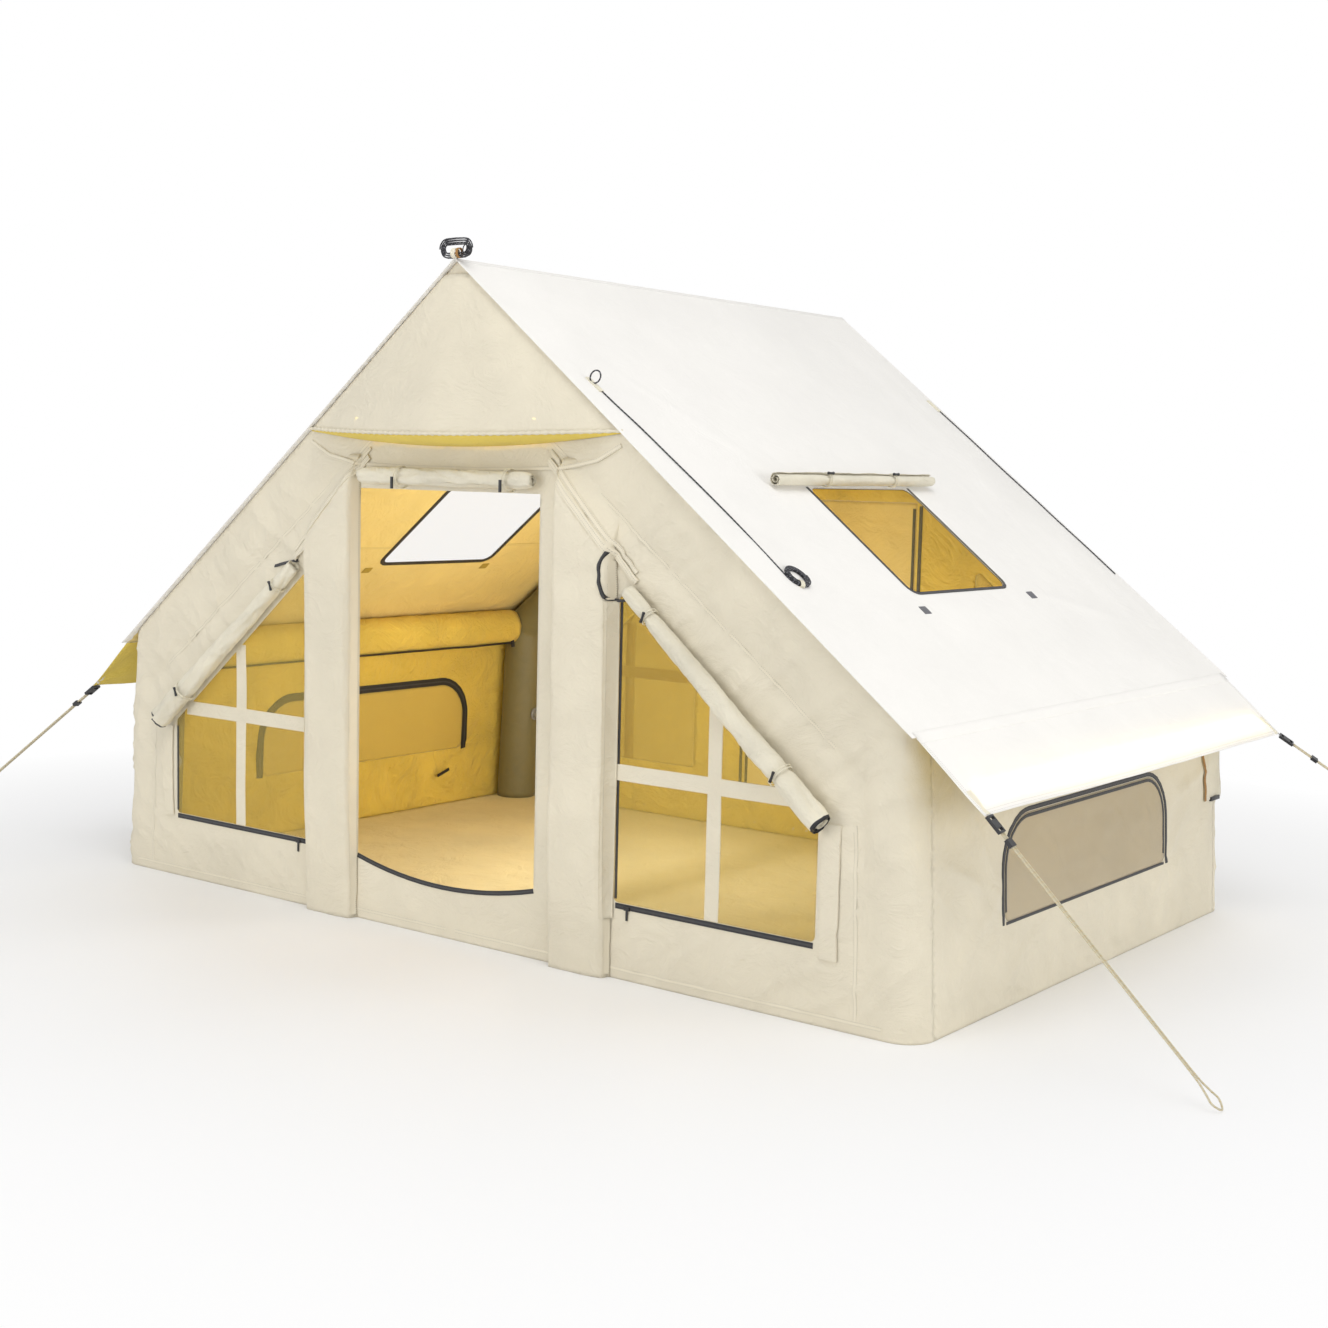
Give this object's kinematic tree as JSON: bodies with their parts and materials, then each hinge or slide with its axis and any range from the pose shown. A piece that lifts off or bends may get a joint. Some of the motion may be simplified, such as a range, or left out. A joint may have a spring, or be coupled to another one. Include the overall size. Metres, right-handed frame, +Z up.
{
  "type": "inflatable house tent",
  "caption": "A house-shaped tent on an inflated air frame, with a gable hood, jamb sleeves, mesh windows, skylights, eave awnings and guy lines.",
  "frame": {"origin": "on the ground in the middle of the groundsheet's underside, which is the middle of the four walls' footprint", "axes": "+Z up; +X along the tent's width, to the right of someone who looks at the door; the door wall faces -Y and the ridge runs along Y"},
  "size_m": [4.9651, 2.5698, 2.007],
  "materials": {
    "air_arch_back": "coated air tube",
    "air_arch_front": "coated air tube",
    "awning_left": "coated woven cloth",
    "awning_right": "coated woven cloth",
    "back_door": "coated woven cloth",
    "back_wall": "coated woven cloth",
    "corner_strap": "coated woven cloth",
    "door_post_left": "coated air tube",
    "door_post_right": "coated air tube",
    "door_roll": "rolled woven cloth",
    "door_toggle_left": "moulded",
    "door_toggle_right": "moulded",
    "eave_beam_left": "coated air tube",
    "eave_beam_right": "coated air tube",
    "front_hood": "coated woven cloth",
    "front_wall": "coated woven cloth",
    "groundsheet": "coated woven cloth",
    "guy_buckle_left_back": "moulded",
    "guy_buckle_left_front": "moulded",
    "guy_buckle_right_back": "moulded",
    "guy_buckle_right_front": "moulded",
    "guy_line_left_front": "braided cord",
    "guy_line_right_back": "braided cord",
    "guy_line_right_front": "braided cord",
    "guy_tab_left_front": "rolled woven cloth",
    "guy_tab_right_back": "rolled woven cloth",
    "guy_tab_right_front": "rolled woven cloth",
    "guy_tensioner_left_front": "moulded",
    "guy_tensioner_right_back": "moulded",
    "guy_tensioner_right_front": "moulded",
    "inflation_valve": "moulded",
    "post_sleeve_left": "coated woven cloth",
    "post_sleeve_right": "coated woven cloth",
    "relief_valve": "moulded",
    "ridge_beam": "coated air tube",
    "roof_left": "coated woven cloth",
    "roof_right": "coated woven cloth",
    "side_wall_left": "coated woven cloth",
    "side_wall_right": "coated woven cloth",
    "side_window_left": "knitted mesh",
    "side_window_right": "knitted mesh",
    "skylight_left": "knitted mesh",
    "skylight_right": "knitted mesh",
    "skylight_roll_left": "rolled woven cloth",
    "skylight_roll_right": "rolled woven cloth",
    "stored_coil_left_front": "braided cord",
    "stored_coil_right_front": "braided cord",
    "stored_hank_apex": "braided cord",
    "stored_run_left_front": "braided cord",
    "stored_run_right_back": "braided cord",
    "stored_run_right_front": "braided cord",
    "valve_cap": "moulded",
    "window_back_left": "knitted mesh",
    "window_back_right": "knitted mesh",
    "window_front_left": "knitted mesh",
    "window_front_right": "knitted mesh",
    "window_roll_left": "rolled woven cloth",
    "window_roll_right": "rolled woven cloth",
    "zip_slider_left": "enamelled",
    "zip_slider_right": "enamelled"
  },
  "bodies": {
    "tent": {"air_arch_back": "air_arch_back", "air_arch_front": "air_arch_front", "back_wall": "back_wall", "corner_strap": "corner_strap", "door_post_left": "door_post_left", "door_post_right": "door_post_right", "door_roll": "door_roll", "eave_beam_left": "eave_beam_left", "eave_beam_right": "eave_beam_right", "front_hood": "front_hood", "front_wall": "front_wall", "groundsheet": "groundsheet", "guy_tab_left_front": "guy_tab_left_front", "guy_tab_right_back": "guy_tab_right_back", "guy_tab_right_front": "guy_tab_right_front", "inflation_valve": "inflation_valve", "post_sleeve_left": "post_sleeve_left", "post_sleeve_right": "post_sleeve_right", "relief_valve": "relief_valve", "ridge_beam": "ridge_beam", "roof_left": "roof_left", "roof_right": "roof_right", "side_wall_left": "side_wall_left", "side_wall_right": "side_wall_right", "side_window_left": "side_window_left", "side_window_right": "side_window_right", "skylight_left": "skylight_left", "skylight_right": "skylight_right", "skylight_roll_left": "skylight_roll_left", "skylight_roll_right": "skylight_roll_right", "stored_coil_left_front": "stored_coil_left_front", "stored_coil_right_front": "stored_coil_right_front", "stored_hank_apex": "stored_hank_apex", "stored_run_left_front": "stored_run_left_front", "stored_run_right_back": "stored_run_right_back", "stored_run_right_front": "stored_run_right_front", "window_back_left": "window_back_left", "window_back_right": "window_back_right", "window_front_left": "window_front_left", "window_front_right": "window_front_right", "window_roll_left": "window_roll_left", "window_roll_right": "window_roll_right"},
    "awning_right": {"awning_right": "awning_right", "guy_buckle_right_front": "guy_buckle_right_front", "guy_buckle_right_back": "guy_buckle_right_back", "guy_line_right_front": "guy_line_right_front", "guy_line_right_back": "guy_line_right_back"},
    "awning_left": {"awning_left": "awning_left", "guy_buckle_left_front": "guy_buckle_left_front", "guy_buckle_left_back": "guy_buckle_left_back", "guy_line_left_front": "guy_line_left_front"},
    "tensioner_right_front": {"guy_tensioner_right_front": "guy_tensioner_right_front"},
    "tensioner_right_back": {"guy_tensioner_right_back": "guy_tensioner_right_back"},
    "tensioner_left_front": {"guy_tensioner_left_front": "guy_tensioner_left_front"},
    "valve_cap": {"valve_cap": "valve_cap"},
    "back_door": {"back_door": "back_door"},
    "zip_right": {"zip_slider_right": "zip_slider_right"},
    "zip_left": {"zip_slider_left": "zip_slider_left"},
    "toggle_right": {"door_toggle_right": "door_toggle_right"},
    "toggle_left": {"door_toggle_left": "door_toggle_left"}
  },
  "joints": [
    {"name": "awning_right_hinge", "type": "hinge", "parent": "tent", "child": "awning_right", "pos_m": [1.51566, 0, 0.75426], "axis": [0, -1, 0], "range_deg": [-42, 39]},
    {"name": "awning_left_hinge", "type": "hinge", "parent": "tent", "child": "awning_left", "pos_m": [-1.51566, 0, 0.75426], "axis": [0, 1, 0], "range_deg": [-42, 39]},
    {"name": "back_door_hinge", "type": "hinge", "parent": "tent", "child": "back_door", "pos_m": [0, 1, 1.28], "axis": [1, 0, 0], "range_deg": [0, 80]},
    {"name": "valve_cap_hinge", "type": "hinge", "parent": "tent", "child": "valve_cap", "pos_m": [-1.35101, 0.9177, 0.37709], "axis": [0, -1, 0], "range_deg": [0, 150]},
    {"name": "zip_right_slide", "type": "slide", "parent": "tent", "child": "zip_right", "axis": [1, 0, 0], "range_m": [0, 0.53]},
    {"name": "zip_left_slide", "type": "slide", "parent": "tent", "child": "zip_left", "axis": [-1, 0, 0], "range_m": [0, 0.53]},
    {"name": "toggle_right_swivel", "type": "hinge", "parent": "tent", "child": "toggle_right", "pos_m": [0.236, -1.0751, 1.3195], "axis": [0, 1, 0], "range_deg": [-80, 80]},
    {"name": "toggle_left_swivel", "type": "hinge", "parent": "tent", "child": "toggle_left", "pos_m": [-0.183, -1.0751, 1.3195], "axis": [0, 1, 0], "range_deg": [-80, 80]},
    {"name": "tensioner_right_front_slide", "type": "slide", "parent": "awning_right", "child": "tensioner_right_front", "axis": [0.7006, 0.0511, -0.7117], "range_m": [-0.015, 0.45]},
    {"name": "tensioner_right_back_slide", "type": "slide", "parent": "awning_right", "child": "tensioner_right_back", "axis": [0.7474, 0.3738, -0.5493], "range_m": [-0.065, 0.4]},
    {"name": "tensioner_left_front_slide", "type": "slide", "parent": "awning_left", "child": "tensioner_left_front", "axis": [-0.7782, -0.1782, -0.6022], "range_m": [-0.045, 0.42]}
  ]
}
